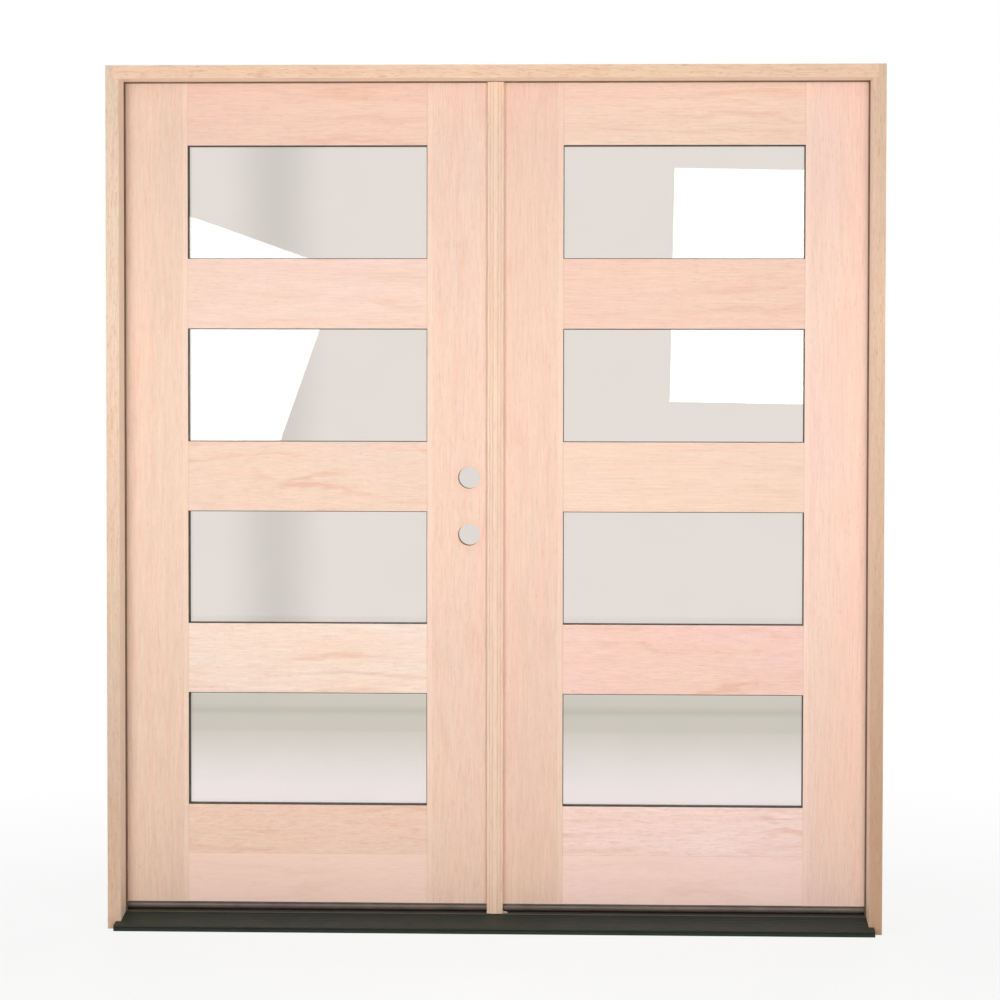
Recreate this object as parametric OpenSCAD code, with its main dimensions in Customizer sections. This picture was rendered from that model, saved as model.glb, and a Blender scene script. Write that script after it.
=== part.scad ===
// Prehung double entry door: two glazed stile and rail leaves hung in a rabbeted wood frame.
// Seen from outside, X runs to the right, Y runs indoors and Z runs up.
// The origin is the middle of the sill base, in the plane of the outer jamb faces.

/* [Leaf] */
// Width of each leaf
leaf_w = 914.4; // [760:0.1:1070]
// Height of each leaf
leaf_h = 2020; // [1900:1:2400]
// Thickness of each leaf
leaf_t = 44.45; // [41:0.05:58]
// Face width of the hinge stiles
hinge_stile_w = 164; // [110:0.5:190]
// Face width of the lock stiles
lock_stile_w = 163; // [130:0.5:190]
// Face width of the top rails
top_rail_w = 163.5; // [110:0.5:220]
// Face width of the three rails between the lites
mid_rail_w = 170; // [110:0.5:200]
// Face width of the bottom rails
bottom_rail_w = 240.5; // [140:0.5:320]
// Length of the stub tenons on the rail ends
tenon_l = 32; // [15:1:50]
// Thickness of the stub tenons
tenon_t = 15; // [8:0.5:20]
// Shoulder left above and below each tenon
tenon_shoulder = 30; // [20:1:45]
// Eased corner on wood edges
ease = 1.2; // [0.4:0.1:2.5]
// Eased arris at the lites and at the shoulders of the rails
arris = 0.6; // [0.2:0.1:1.5]

/* [Glazing] */
// Thickness of the outer lip that the glass beds against
lip_t = 8; // [6:0.5:12]
// Depth of the rebate behind the lip
bite = 11; // [8:0.5:14]
// Gap left between the glass edge and the rebate
glass_edge_gap = 2; // [1:0.5:4]
// Thickness of each pane
pane_t = 3.2; // [3:0.1:4]
// Space between the two panes of a unit
air_gap = 18; // [10:0.5:19]
// Width of the spacer bar between the panes
spacer_w = 9; // [5:0.5:10]
// Distance from the glass edge to the spacer bar
spacer_set = 1.5; // [0.5:0.5:2]
// Width of the sealant beads between the lip and the glass
putty_w = 1.5; // [1:0.1:3]
// Set back of the sealant beads from the leaf face
putty_set = 1; // [0.7:0.1:3]
// Bevel on the glazing beads
bead_bevel = 5; // [2:0.5:7]
// Open mitre between neighbouring beads
mitre_gap = 0.2; // [0.1:0.05:0.5]

/* [Frame] */
// Thickness of the jambs over the stop
jamb_t = 31.75; // [28:0.25:40]
// Depth of the jambs through the wall
jamb_d = 115.9; // [110:0.1:170]
// Depth of the rabbet that the leaves close into
rabbet_d = 12.7; // [10:0.1:16]
// Gap between a leaf and its hinge jamb
hinge_gap = 3.175; // [2.5:0.025:5]
// Gap between a leaf and the head
head_gap = 3; // [2:0.1:6]
// Gap between the meeting edges of the leaves
centre_gap = 6.35; // [5:0.05:10]
// Space between the stop and the closed leaf
seal_space = 9.45; // [7:0.05:13]

/* [Sill] */
// Height of the sill cap
sill_h = 31; // [26:0.5:45]
// Space between the sill cap and the leaves
bottom_gap = 22.45; // [20:0.05:30]
// Reach of the sill nose in front of the jambs
nose_out = 27; // [15:0.5:45]
// Height of the sill nose
nose_h = 13.5; // [10:0.5:16]
// Bevel along the top of the nose
nose_ease = 2; // [1:0.5:3]
// Thickness of the metal deck
deck_t = 2.4; // [1.6:0.1:3]
// Drop from the top of the cap to the rear edge of the deck
cap_proud = 1.5; // [0.5:0.1:3]
// Depth of the cap, front to back
cap_d = 57.9; // [54:0.1:70]
// Height of the cap
cap_h = 11; // [8:0.5:14]
// Number of tread grooves along the deck
tread_count = 5; // [0:1:7]
// Spacing of the tread grooves
tread_pitch = 9; // [5:0.5:10]
// Radius of the tread grooves
tread_r = 0.8; // [0.4:0.1:1.2]
// Height of the drip groove in the nose above the floor
drip_z = 7.5; // [5:0.5:8]
// Height of the drip groove
drip_h = 3; // [1:0.5:3]
// Depth of the drip groove
drip_d = 1.2; // [0.5:0.1:1.2]

/* [Weather seals] */
// Width of the kerf that holds a seal
kerf_w = 3; // [2.6:0.1:4]
// Depth of the kerf
kerf_d = 12; // [8:0.5:16]
// Distance from the rabbet face to the middle of the kerf
kerf_set = 4; // [3:0.5:6]
// Thickness of the barbed leg of a seal
barb_t = 2.4; // [1.6:0.1:2.5]
// Free end of the kerf past the barbed leg
barb_end = 1; // [0.5:0.5:2]
// Set back of a seal from the edges of its seat
strip_set = 1; // [0.5:0.1:2]
// Reach of a jamb seal past the edge of the stop
strip_proud = 3.6; // [2:0.1:5]
// Thickness of the carrier under a leaf
carrier_t = 3; // [2:0.5:4]
// Set back of the carrier from the leaf faces
carrier_set = 1.2; // [0.5:0.1:3]
// Radius of the bulb along the front of a carrier
bulb_r = 8; // [6:0.5:8]
// Wall of the bulb
bulb_wall = 1.6; // [1:0.1:2.5]
// Thickness of the fins behind the bulb
fin_t = 1.6; // [1:0.1:2.5]
// Spacing of the fins
fin_pitch = 8; // [6:0.5:9]
// Height of the pads in the bottom corners
pad_h = 48; // [30:1:80]
// Width of the pads
pad_w = 22; // [15:1:30]

/* [Astragal] */
// Width of the astragal
astragal_w = 38.5; // [32:0.5:50]
// Thickness of the astragal
astragal_t = 16; // [12:0.5:20]
// Overlap of the astragal on the active leaf
astragal_lap = 15; // [10:0.5:20]
// Rise of the crowned face
crown = 4; // [2:0.5:6]
// Radius of the reeding grooves
reed_r = 1.1; // [0.6:0.1:1.6]
// Distances of the grooves from the active edge
reed_at = [6, 13, 25.5, 32.5];
// Depth of the rebate that holds the meeting seal
meet_seal_t = 4; // [3:0.5:6]
// Clearance above the sill cap
astragal_foot = 0.6; // [0.4:0.1:3]
// Clearance below the head stop
astragal_head = 2; // [1:0.5:5]
// Clearance beside the astragal where the head seal is notched
astragal_notch = 2; // [1.5:0.1:4]
// Length of the pad beside the foot of the astragal
foot_pad_l = 12; // [8:1:20]
// Height of the pad beside the foot
foot_pad_h = 5; // [3:0.5:8]

/* [Hinges] */
// Height of the hinges
hinge_h = 101.6; // [88:0.1:115]
// Width of a hinge plate on the leaf edge
plate_w = 36; // [30:0.5:39]
// Thickness of a hinge plate
plate_t = 2.5; // [2:0.1:3.2]
// Corner radius of a hinge plate
plate_r = 15.875; // [6:0.125:16]
// Radius of the knuckles
knuckle_r = 7; // [6:0.1:8]
// Clearance between the knuckles and the wood corners
knuckle_clear = 0.5; // [0.3:0.1:1.5]
// Gap between neighbouring knuckles
knuckle_gap = 0.3; // [0.2:0.05:0.5]
// Radius of the hinge pins
pin_r = 3; // [2.5:0.1:4]
// Radius of the pin heads
pin_head_r = 5.2; // [4.5:0.1:6]
// Height of the pin heads
pin_head_h = 3; // [2:0.5:5]
// Distance from the leaf top to the top hinge
hinge_top = 178; // [120:1:250]
// Distance from the leaf bottom to the bottom hinge
hinge_bottom = 279; // [180:1:320]
// Shank radius of the hinge screws
screw_r = 2.4; // [2:0.1:2.6]
// Head radius of the hinge screws
screw_head_r = 4.4; // [3.6:0.1:5]
// Depth of the screw heads
screw_head_h = 2; // [1.4:0.1:2]
// Length of the hinge screws
screw_l = 17; // [12:0.5:18]
// Distance from the screws to the plate edges
screw_edge = 10; // [8:0.5:12]
// Distance from the inner screws to the middle of a hinge
screw_mid = 13; // [8:0.5:18]

/* [Lock bores] */
// Diameter of the lock bores through the active leaf
bore_d = 53.975; // [50:0.005:55]
// Distance from the leaf edge to the bores
backset = 60.325; // [60.325:9.525:69.85]
// Height of the lockset bore above the leaf bottom
lockset_h = 906.4; // [850:0.1:1000]
// Distance from the lockset bore up to the deadbolt bore
bore_pitch = 139.7; // [100:0.1:160]
// Diameter of the bores for the latches
latch_d = 25.4; // [22:0.1:26]
// Height of the latch plate recesses
face_h = 57.15; // [50:0.05:60]
// Width of the latch plate recesses
face_w = 25.4; // [22:0.1:30]
// Depth of the latch plate recesses
face_d = 2.5; // [1.5:0.1:4]
// Depth of the strike pockets in the passive leaf
strike_d = 28; // [20:1:40]

/* [Flush bolts] */
// Radius of the bolts
bolt_r = 5; // [4:0.1:6]
// Length of the bolts
bolt_l = 180; // [140:1:230]
// Distance from the leaf edge to the bolts
bolt_inset = 14; // [12:0.5:18]
// Set back of the bolt ends from the leaf ends
bolt_set = 0.5; // [0.2:0.1:2]
// Reach of a thrown bolt into its strike
bolt_throw = 11; // [8:0.5:12]
// Width of the thumb slides
thumb_w = 8; // [6:0.5:9]
// Height of the thumb slides
thumb_h = 14; // [10:1:20]
// Distance from the inner bolt end to the thumb slide
thumb_set = 12; // [8:1:20]
// Reach of the thumb slides past the leaf edge
thumb_out = 0.8; // [0.4:0.1:1.2]
// Thickness of the bolt and strike plates
bolt_plate_t = 2; // [1.5:0.1:3]
// Width of the bolt and strike plates
bolt_plate_w = 22; // [18:0.5:26]
// Plate left beyond each end of a slot
bolt_plate_end = 14; // [10:1:20]
// Length of the strike plates
strike_l = 44; // [34:1:60]

/* [Clearances] */
// Radial clearance of the hinge pins
pin_clear = 0.05; // [0.02:0.01:0.1]
// Radial clearance of the flush bolts
bolt_clear = 0.1; // [0.05:0.05:0.3]
// Clearance of a bolt in its strike
strike_clear = 0.8; // [0.4:0.1:1.5]
// Clearance between soft seals and what moves past them
seal_clear = 0.4; // [0.3:0.05:1]
// Clearance around the hinge plates in their recesses
recess_clear = 0.2; // [0.1:0.05:0.4]
// Clearance around the hinge screws
screw_clear = 0.05; // [0.02:0.01:0.1]
// Clearance around the thumb slides
thumb_clear = 0.4; // [0.2:0.1:0.8]
// Set back of the sweeps from the leaf ends
sweep_set = 1; // [0.5:0.5:3]

/* [Hidden] */
$fn = 48;

// Overlap of a cutting shape past the face that it opens
over = 1;
LEFT = -1;
RIGHT = 1;
lite_count = 4;
knuckles = 5;

// Frame
web = jamb_t - rabbet_d;
leaf_y0 = jamb_d - leaf_t;
leaf_y1 = jamb_d;
leaf_ym = (leaf_y0 + leaf_y1) / 2;
stop_d = leaf_y0 - seal_space;
leaf_x0 = -centre_gap / 2 - leaf_w;
leaf_x1 = -centre_gap / 2;
web_x = -leaf_x0 + hinge_gap;
stop_x = web_x - rabbet_d;
unit_w = 2 * (web_x + web);
leaf_z0 = sill_h + bottom_gap;
leaf_z1 = leaf_z0 + leaf_h;
head_web_z = leaf_z1 + head_gap;
unit_h = head_web_z + web;
soffit_z = unit_h - jamb_t;
kerf_u = web + kerf_set;
strip_r = (seal_space - seal_clear) / 2;
strip_z1 = soffit_z - strip_proud - seal_clear;

// Sill
cap_y0 = jamb_d - cap_d;
cap_z0 = sill_h - cap_h;
deck_z = sill_h - cap_proud;
deck_slope = (deck_z - nose_h) / (cap_y0 + nose_out - nose_ease);
function deck_top(y) = nose_h + (y + nose_out - nose_ease) * deck_slope;
nose_in = -nose_out + deck_t;
nose_under = deck_top(nose_in) - deck_t;
tread_y0 = (cap_y0 - (tread_count - 1) * tread_pitch) / 2;

// Leaf
lip_y = leaf_y0 + lip_t;
lite_x0 = leaf_x0 + hinge_stile_w;
lite_x1 = leaf_x1 - lock_stile_w;
lite_xm = (lite_x0 + lite_x1) / 2;
lite_h = (leaf_h - top_rail_w - bottom_rail_w - (lite_count - 1) * mid_rail_w) / lite_count;
function lite_z0(i) = leaf_z1 - top_rail_w - lite_h - i * (lite_h + mid_rail_w);
tenon_y0 = (lip_y + leaf_y1 - tenon_t) / 2;
top_span = [leaf_z1 - top_rail_w, leaf_z1];
mid_spans = [for (i = [0 : lite_count - 2]) [lite_z0(i) - mid_rail_w, lite_z0(i)]];
bottom_span = [leaf_z0, leaf_z0 + bottom_rail_w];
rail_spans = concat([top_span], mid_spans, [bottom_span]);

// Glazing
glass_lap = bite - glass_edge_gap;
unit_t = 2 * pane_t + air_gap;
bead_y0 = lip_y + unit_t;
pocket_w = lite_x1 - lite_x0 + 2 * bite;
pocket_h = lite_h + 2 * bite;

// Hinges
pin_x = -(web_x - leaf_x0) / 2;
pin_y = leaf_y1 + knuckle_r + knuckle_clear;
knuckle_h = hinge_h / knuckles;
hinge_z_top = leaf_z1 - hinge_top - hinge_h;
hinge_z_bottom = leaf_z0 + hinge_bottom;
hinge_z = [hinge_z_top, (hinge_z_top + hinge_z_bottom) / 2, hinge_z_bottom];
screw_spots = [
  [leaf_y1 - screw_edge, screw_edge],
  [leaf_y1 - plate_w + screw_edge, hinge_h / 2 - screw_mid],
  [leaf_y1 - plate_w + screw_edge, hinge_h / 2 + screw_mid],
  [leaf_y1 - screw_edge, hinge_h - screw_edge]
];

// Lock bores
lockset_z = leaf_z0 + lockset_h;
bore_zs = [lockset_z, lockset_z + bore_pitch];
bore_x = leaf_x1 - backset;

// Flush bolts
bolt_x = leaf_x1 - bolt_inset;
top_travel = bolt_set + head_gap + bolt_throw;
bottom_travel = bolt_set + bottom_gap + bolt_throw;
top_bolt_z = leaf_z1 - bolt_set - bolt_l;
bottom_bolt_z = leaf_z0 + bolt_set;
top_thumb_z = top_bolt_z + thumb_set;
bottom_thumb_z = bottom_bolt_z + bolt_l - thumb_set - thumb_h;
top_slot = [top_thumb_z - thumb_clear, top_thumb_z + thumb_h + top_travel + thumb_clear];
bottom_slot = [bottom_thumb_z - bottom_travel - thumb_clear, bottom_thumb_z + thumb_h + thumb_clear];

// Astragal
astragal_x0 = leaf_x1 - astragal_lap;
astragal_x1 = astragal_x0 + astragal_w;
astragal_xm = (astragal_x0 + astragal_x1) / 2;
astragal_y0 = leaf_y0 - astragal_t;
astragal_z0 = sill_h + astragal_foot;
astragal_z1 = soffit_z - astragal_head;
crown_r = (pow(astragal_w / 2, 2) + pow(crown, 2)) / (2 * crown);
function crown_y(x) = astragal_y0 + crown_r - sqrt(pow(crown_r, 2) - pow(x - astragal_xm, 2));

// Finishes
stile_wood = [0.90, 0.76, 0.66];
rail_wood = [0.93, 0.78, 0.70];
jamb_wood = [0.87, 0.73, 0.60];
astragal_wood = [0.91, 0.79, 0.65];
bronze = [0.23, 0.24, 0.21];
composite = [0.32, 0.29, 0.25];
seal_brown = [0.38, 0.29, 0.23];
sweep_brown = [0.26, 0.22, 0.20];
foam = [0.62, 0.56, 0.46];
clear_glass = [0.86, 0.90, 0.90, 0.4];
spacer_grey = [0.22, 0.20, 0.19];
nickel = [0.66, 0.64, 0.60];

// A box between two corners
module block(lo, hi) {
  translate(lo) cube(hi - lo);
}

// A section drawn in Y and Z, run along X
module along_x(x0, x1) {
  translate([x0, 0, 0]) rotate([90, 0, 90]) linear_extrude(x1 - x0) children();
}

// The left-hand form as drawn, or its mirror image on the right
module handed(side) {
  if (side == RIGHT) mirror([1, 0, 0]) children();
  else children();
}

// Rabbeted jamb section, from its back face to the stop edge
module jamb_profile() {
  difference() {
    polygon([
      [0, 0], [jamb_t - ease, 0], [jamb_t, ease], [jamb_t, stop_d - ease], [jamb_t - ease, stop_d],
      [web, stop_d], [web, jamb_d - ease], [web - ease, jamb_d], [0, jamb_d]
    ]);
    translate([kerf_u - kerf_w / 2, stop_d - kerf_d]) square([kerf_w, kerf_d + over]);
  }
}

// The outline of the sill, that the stops are cut to fit
module sill_cope() {
  along_x(-web_x, -stop_x + over) polygon([
    [-over, -over], [-over, deck_top(-over)], [cap_y0, deck_z], [cap_y0, sill_h],
    [stop_d + over, sill_h], [stop_d + over, -over]
  ]);
}

// Hinge plate outline in Y and Z, with round corners away from the knuckles
module plate_shape(grow) {
  r = plate_r + grow;
  y0 = leaf_y1 - plate_w - grow;
  translate([y0 + r, -grow]) square([leaf_y1 - y0 - r, hinge_h + 2 * grow]);
  translate([y0, r - grow]) square([leaf_y1 - y0, hinge_h + 2 * grow - 2 * r]);
  for (z = [r - grow, hinge_h + grow - r]) translate([y0 + r, z]) circle(r);
}

// A countersunk screw along X, with its head at the origin and its tip at -X
module screw(grow) {
  rotate([0, 90, 0]) {
    translate([0, 0, -screw_head_h]) cylinder(h = screw_head_h, r1 = screw_r + grow, r2 = screw_head_r + grow);
    translate([0, 0, -screw_l]) cylinder(h = screw_l - screw_head_h, r = screw_r + grow);
  }
}

module jamb_screws_at(z, grow) {
  for (spot = screw_spots) translate([-web_x, spot[0], z + spot[1]]) screw(grow);
}

module leaf_screws_at(z, grow) {
  for (spot = screw_spots) translate([leaf_x0, spot[0], z + spot[1]]) mirror([1, 0, 0]) screw(grow);
}

// Recess for a hinge plate that starts at x and runs one plate deep, open to the knuckle side
module plate_recess(x, z) {
  translate([0, 0, z]) {
    along_x(x, x + plate_t) plate_shape(recess_clear);
    block([x, leaf_y1 - plate_r, -recess_clear], [x + plate_t, leaf_y1 + over, hinge_h + recess_clear]);
  }
}

// Half of a butt hinge: a plate and the knuckles that it carries
module hinge_half(x, z, own) {
  difference() {
    translate([0, 0, z]) {
      along_x(x, x + plate_t) plate_shape(0);
      for (i = own) {
        z0 = i * knuckle_h + knuckle_gap / 2;
        z1 = (i + 1) * knuckle_h - knuckle_gap / 2;
        block([x, leaf_y1 - over, z0], [x + plate_t, pin_y, z1]);
        translate([pin_x, pin_y, z0]) cylinder(h = z1 - z0, r = knuckle_r);
      }
    }
    translate([pin_x, pin_y, z - over]) cylinder(h = hinge_h + 2 * over, r = pin_r + pin_clear);
    children();
  }
}

module jamb_hinge(side, i) {
  color(nickel) handed(side)
    hinge_half(-web_x - plate_t, hinge_z[i], [0 : 2 : knuckles - 1]) jamb_screws_at(hinge_z[i], screw_clear);
}

module leaf_hinge(side, i) {
  color(nickel) handed(side)
    hinge_half(leaf_x0, hinge_z[i], [1 : 2 : knuckles - 1]) leaf_screws_at(hinge_z[i], screw_clear);
}

module side_jamb(side) {
  color(jamb_wood) handed(side) difference() {
    translate([-unit_w / 2, 0, 0]) linear_extrude(unit_h) jamb_profile();
    sill_cope();
    block([-web_x, -over, soffit_z], [-stop_x + over, stop_d + over, unit_h + over]);
    for (z = hinge_z) {
      plate_recess(-web_x - plate_t, z);
      jamb_screws_at(z, screw_clear);
    }
  }
}

module head_jamb() {
  color(jamb_wood) difference() {
    translate([-web_x, 0, unit_h]) rotate([0, 90, 0]) linear_extrude(2 * web_x) jamb_profile();
    handed(RIGHT) {
      strike_shape(head_web_z - over, head_web_z + bolt_plate_t);
      translate([bolt_x, leaf_ym, head_web_z - over])
        cylinder(h = bolt_throw + 2 * over, r = bolt_r + strike_clear);
    }
  }
}

// Outline of a strike plate between two heights
module strike_shape(z0, z1) {
  block([bolt_x - strike_l / 2, leaf_ym - bolt_plate_w / 2, z0],
        [bolt_x + strike_l / 2, leaf_ym + bolt_plate_w / 2, z1]);
}

module strike_plate(z) {
  difference() {
    strike_shape(z, z + bolt_plate_t);
    translate([bolt_x, leaf_ym, z - over]) cylinder(h = bolt_plate_t + 2 * over, r = bolt_r + strike_clear);
  }
}

module bolt_strikes() {
  color(nickel) handed(RIGHT) {
    strike_plate(head_web_z);
    strike_plate(sill_h - bolt_plate_t);
  }
}

// Hole for the thrown bottom bolt in the sill
module sill_bolt_hole() {
  handed(RIGHT) translate([bolt_x, leaf_ym, sill_h - bolt_throw - over])
    cylinder(h = bolt_throw + 2 * over, r = bolt_r + strike_clear);
}

module sill_deck() {
  color(bronze) along_x(-web_x, web_x) difference() {
    polygon([
      [-nose_out, 0], [-nose_out, nose_h - nose_ease], [-nose_out + nose_ease, nose_h], [cap_y0, deck_z],
      [cap_y0, deck_z - deck_t], [nose_in, nose_under], [nose_in, 0]
    ]);
    translate([-nose_out - over, drip_z]) square([over + drip_d, drip_h]);
    for (i = [0 : 1 : tread_count - 1]) {
      y = tread_y0 + i * tread_pitch;
      translate([y, deck_top(y)]) circle(tread_r);
    }
  }
}

module sill_substrate() {
  color(composite) difference() {
    along_x(-web_x, web_x) polygon([
      [nose_in, 0], [nose_in, nose_under], [cap_y0, deck_z - deck_t], [cap_y0, cap_z0],
      [jamb_d, cap_z0], [jamb_d, 0]
    ]);
    sill_bolt_hole();
  }
}

module sill_cap() {
  color(composite) difference() {
    along_x(-web_x, web_x) polygon([
      [cap_y0, cap_z0], [cap_y0, sill_h - ease], [cap_y0 + ease, sill_h], [jamb_d - ease, sill_h],
      [jamb_d, sill_h - ease], [jamb_d, cap_z0]
    ]);
    sill_bolt_hole();
    handed(RIGHT) strike_shape(sill_h - bolt_plate_t, sill_h + over);
  }
}

// Kerf seal section with a round nose, in the same place as the jamb section
module strip_profile() {
  u0 = web + strip_set;
  nose_u = jamb_t + strip_proud - strip_r;
  translate([kerf_u - barb_t / 2, stop_d - kerf_d + barb_end]) square([barb_t, kerf_d]);
  translate([u0, stop_d]) square([nose_u - u0, 2 * strip_r]);
  translate([nose_u, stop_d + strip_r]) circle(strip_r);
}

module side_weatherstrip(side) {
  color(seal_brown) handed(side)
    translate([-unit_w / 2, 0, sill_h]) linear_extrude(strip_z1 - sill_h) strip_profile();
}

// Head seal, notched where the astragal stands in front of it
module head_weatherstrip() {
  color(seal_brown) difference() {
    translate([-web_x, 0, unit_h]) rotate([0, 90, 0]) linear_extrude(2 * web_x) strip_profile();
    block([astragal_x0 - astragal_notch, stop_d - over, soffit_z - strip_proud - over],
          [astragal_x1 + astragal_notch, leaf_y0, soffit_z]);
  }
}

// Foam pads against the rabbet faces, just behind the seals
module corner_pads() {
  color(foam) for (side = [LEFT, RIGHT]) handed(side)
    block([-web_x, leaf_y0, sill_h], [leaf_x0 - seal_clear, leaf_y0 + pad_w, sill_h + pad_h]);
}

module hinge_pins() {
  color(nickel) for (side = [LEFT, RIGHT]) handed(side) for (z = hinge_z) translate([pin_x, pin_y, z]) {
    translate([0, 0, knuckle_gap / 2 - pin_head_h]) cylinder(h = pin_head_h, r1 = pin_r, r2 = pin_head_r);
    cylinder(h = hinge_h, r = pin_r);
    translate([0, 0, hinge_h - knuckle_gap / 2]) cylinder(h = pin_head_h, r1 = pin_head_r, r2 = pin_r);
  }
}

module jamb_hinge_screws() {
  color(nickel) for (side = [LEFT, RIGHT]) handed(side) for (z = hinge_z) jamb_screws_at(z, 0);
}

module leaf_hinge_screws(side) {
  color(nickel) handed(side) for (z = hinge_z) leaf_screws_at(z, 0);
}

// Stile section from its outer edge inwards, with the glazing rebate on the inner side
module stile_profile(w) {
  polygon([
    [ease, leaf_y0], [w - arris, leaf_y0], [w, leaf_y0 + arris], [w, lip_y], [w - bite, lip_y],
    [w - bite, leaf_y1 - arris], [w - bite - arris, leaf_y1], [ease, leaf_y1], [0, leaf_y1 - ease],
    [0, leaf_y0 + ease]
  ]);
}

// Stub tenons of one rail, at both ends
module rail_tenons(span) {
  block([lite_x0 - bite - tenon_l, tenon_y0, span[0] + tenon_shoulder],
        [lite_x1 + bite + tenon_l, tenon_y0 + tenon_t, span[1] - tenon_shoulder]);
}

module hinge_stile(side) {
  color(stile_wood) handed(side) difference() {
    translate([leaf_x0, 0, leaf_z0]) linear_extrude(leaf_h) stile_profile(hinge_stile_w);
    for (span = rail_spans) rail_tenons(span);
    for (z = hinge_z) {
      plate_recess(leaf_x0, z);
      leaf_screws_at(z, screw_clear);
    }
  }
}

module plain_lock_stile() {
  difference() {
    translate([leaf_x1, 0, leaf_z0]) linear_extrude(leaf_h) mirror([1, 0]) stile_profile(lock_stile_w);
    for (span = rail_spans) rail_tenons(span);
  }
}

// Recess for a latch or strike plate in the meeting edge
module face_recess(z) {
  block([leaf_x1 - face_d, leaf_ym - face_w / 2, z - face_h / 2],
        [leaf_x1 + over, leaf_ym + face_w / 2, z + face_h / 2]);
}

// A round hole from the meeting edge into the leaf
module edge_bore(z, depth) {
  translate([leaf_x1 - depth, leaf_ym, z]) rotate([0, 90, 0]) cylinder(h = depth + over, d = latch_d);
}

module active_lock_stile() {
  color(stile_wood) difference() {
    plain_lock_stile();
    for (z = bore_zs) {
      translate([bore_x, leaf_y0 - over, z]) rotate([-90, 0, 0]) cylinder(h = leaf_t + 2 * over, d = bore_d);
      edge_bore(z, backset);
      face_recess(z);
    }
  }
}

// Room for a flush bolt, its thumb slide and its plate
module bolt_room(z0, z1, slot) {
  translate([bolt_x, leaf_ym, z0]) cylinder(h = z1 - z0, r = bolt_r + bolt_clear);
  bolt_slot(slot);
  bolt_plate_shape(slot, over);
}

module bolt_slot(slot) {
  block([bolt_x, leaf_ym - thumb_w / 2 - thumb_clear, slot[0]],
        [leaf_x1 + over, leaf_ym + thumb_w / 2 + thumb_clear, slot[1]]);
}

module bolt_plate_shape(slot, past) {
  block([leaf_x1 - bolt_plate_t, leaf_ym - bolt_plate_w / 2, slot[0] - bolt_plate_end],
        [leaf_x1 + past, leaf_ym + bolt_plate_w / 2, slot[1] + bolt_plate_end]);
}

module passive_lock_stile() {
  color(stile_wood) handed(RIGHT) difference() {
    plain_lock_stile();
    for (z = bore_zs) {
      edge_bore(z, strike_d);
      face_recess(z);
    }
    bolt_room(top_bolt_z - over, leaf_z1 + over, top_slot);
    bolt_room(leaf_z0 - over, bottom_bolt_z + bolt_l + over, bottom_slot);
  }
}

module flush_bolt_plates() {
  color(nickel) handed(RIGHT) for (slot = [top_slot, bottom_slot]) difference() {
    bolt_plate_shape(slot, 0);
    bolt_slot(slot);
  }
}

// A sliding bolt with its thumb slide
module flush_bolt(z, thumb_z) {
  color(nickel) handed(RIGHT) {
    translate([bolt_x, leaf_ym, z]) cylinder(h = bolt_l, r = bolt_r);
    block([bolt_x, leaf_ym - thumb_w / 2, thumb_z], [leaf_x1 + thumb_out, leaf_ym + thumb_w / 2, thumb_z + thumb_h]);
  }
}

// One rail: outer lip between the stiles, body into their rebates, eased arrises and stub tenons
module rail(side, span, rebate_low, rebate_high) {
  low = span[0] + rebate_low * bite;
  high = span[1] - rebate_high * bite;
  color(rail_wood) handed(side) {
    intersection() {
      translate([0, 0, span[0] - over]) linear_extrude(span[1] - span[0] + 2 * over) polygon([
        [lite_x0, lip_y], [lite_x0, leaf_y0 + arris], [lite_x0 + arris, leaf_y0],
        [lite_x1 - arris, leaf_y0], [lite_x1, leaf_y0 + arris], [lite_x1, lip_y],
        [lite_x1 + bite, lip_y], [lite_x1 + bite, leaf_y1 - arris], [lite_x1 + bite - arris, leaf_y1],
        [lite_x0 - bite + arris, leaf_y1], [lite_x0 - bite, leaf_y1 - arris], [lite_x0 - bite, lip_y]
      ]);
      along_x(lite_x0 - bite - over, lite_x1 + bite + over) polygon([
        if (rebate_low > 0) [lip_y, low],
        if (rebate_low > 0) [lip_y, span[0]],
        [leaf_y0 + arris, span[0]], [leaf_y0, span[0] + arris],
        [leaf_y0, span[1] - arris], [leaf_y0 + arris, span[1]],
        if (rebate_high > 0) [lip_y, span[1]],
        if (rebate_high > 0) [lip_y, high],
        [leaf_y1 - arris, high], [leaf_y1, high - arris],
        [leaf_y1, low + arris], [leaf_y1 - arris, low]
      ]);
    }
    rail_tenons(span);
  }
}

// A box over one lite, reaching past its edges
module lite_block(i, reach, y0, y1) {
  block([lite_x0 - reach, y0, lite_z0(i) - reach], [lite_x1 + reach, y1, lite_z0(i) + lite_h + reach]);
}

// A rectangular frame round one lite
module lite_frame(i, outer, inner, y0, y1) {
  difference() {
    lite_block(i, outer, y0, y1);
    lite_block(i, inner, y0 - over, y1 + over);
  }
}

module glass_unit(side, i) {
  color(clear_glass) handed(side) for (y = [lip_y, lip_y + pane_t + air_gap])
    lite_block(i, glass_lap, y, y + pane_t);
}

// Spacer bars between the panes, and the sealant beads in front of them
module spacers(side) {
  reach = glass_lap - spacer_set;
  color(spacer_grey) handed(side) for (i = [0 : lite_count - 1]) {
    lite_frame(i, reach, reach - spacer_w, lip_y + pane_t, lip_y + pane_t + air_gap);
    lite_frame(i, 0, -putty_w, leaf_y0 + putty_set, lip_y);
  }
}

// A mitred glazing bead, seated on the rebate wall at the given distance below the origin
module bead(length, drop) {
  half = length / 2 - mitre_gap;
  translate([0, 0, -drop]) intersection() {
    along_x(-length / 2, length / 2) polygon([
      [bead_y0, 0], [leaf_y1, 0], [leaf_y1, bite - bead_bevel], [leaf_y1 - bead_bevel, bite], [bead_y0, bite]
    ]);
    translate([0, leaf_y1 + over, 0]) rotate([90, 0, 0]) linear_extrude(leaf_t)
      polygon([[-half, 0], [half, 0], [half - bite, bite], [-half + bite, bite]]);
  }
}

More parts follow.
